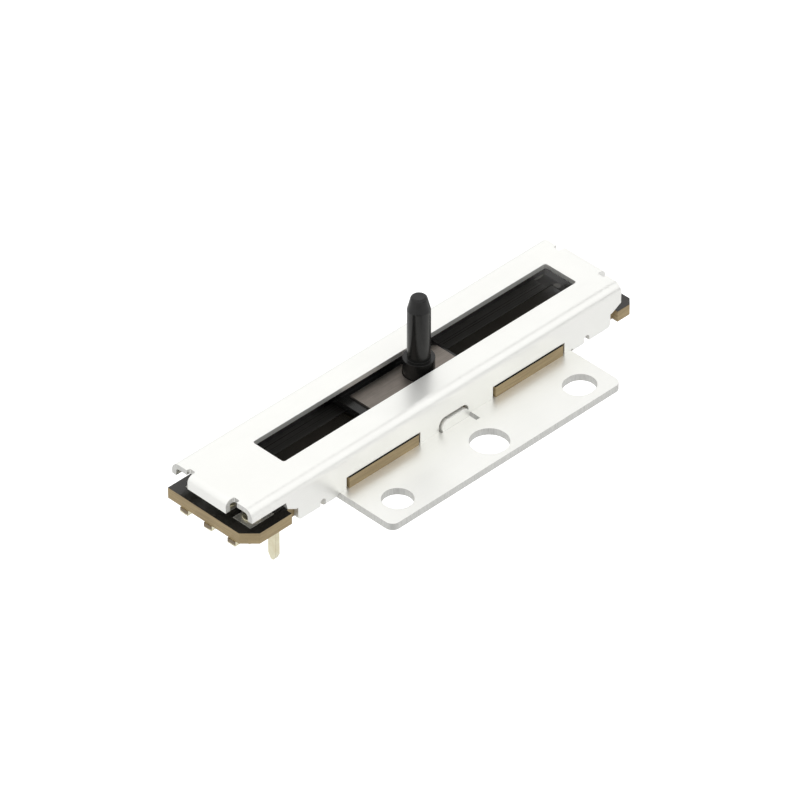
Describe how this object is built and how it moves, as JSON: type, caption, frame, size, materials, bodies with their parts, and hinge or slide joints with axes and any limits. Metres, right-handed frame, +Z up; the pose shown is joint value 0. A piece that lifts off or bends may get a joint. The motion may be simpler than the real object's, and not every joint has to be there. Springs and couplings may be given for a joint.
{
  "type": "resistive position sensor",
  "caption": "Linear resistive position sensor: folded metal cover with a long slot, round sliding lever, printed track board, pin terminals and a drilled side bracket.",
  "frame": {"origin": "centre of the bracket's screw hole, on the bracket's underside", "axes": "+X along the lever's travel, away from the terminals; +Y from the bracket towards the track element; +Z up, the way the lever points"},
  "size_m": [0.0462, 0.0159, 0.0153],
  "materials": {
    "tinned_steel": "bright tin plate",
    "bracket_steel": "bright tin plate",
    "laminate": "paper laminate with a glossy black print on top",
    "carbon_film": "smooth carbon print",
    "silver_print": "satin silver print",
    "terminal_metal": "thinly plated brass",
    "moulding": "smooth black moulding",
    "spring_metal": "dull rolled spring sheet",
    "contact_metal": "bright contact spring"
  },
  "bodies": {
    "base": {"cover": "tinned_steel", "mounting_bracket": "bracket_steel", "circuit_board": "laminate", "resistive_track": "carbon_film", "collector_track": "carbon_film", "electrode_start": "silver_print", "electrode_wiper": "silver_print", "electrode_end": "silver_print", "terminal_start": "terminal_metal", "terminal_wiper": "terminal_metal", "terminal_end": "terminal_metal", "terminal_eyelets": "terminal_metal"},
    "slide": {"slider": "moulding", "slider_spring": "spring_metal", "wiper_contact": "contact_metal"}
  },
  "joints": [
    {"name": "lever_slide", "type": "slide", "parent": "base", "child": "slide", "axis": [1, 0, 0], "range_m": [-0.01625, 0.01575]}
  ]
}
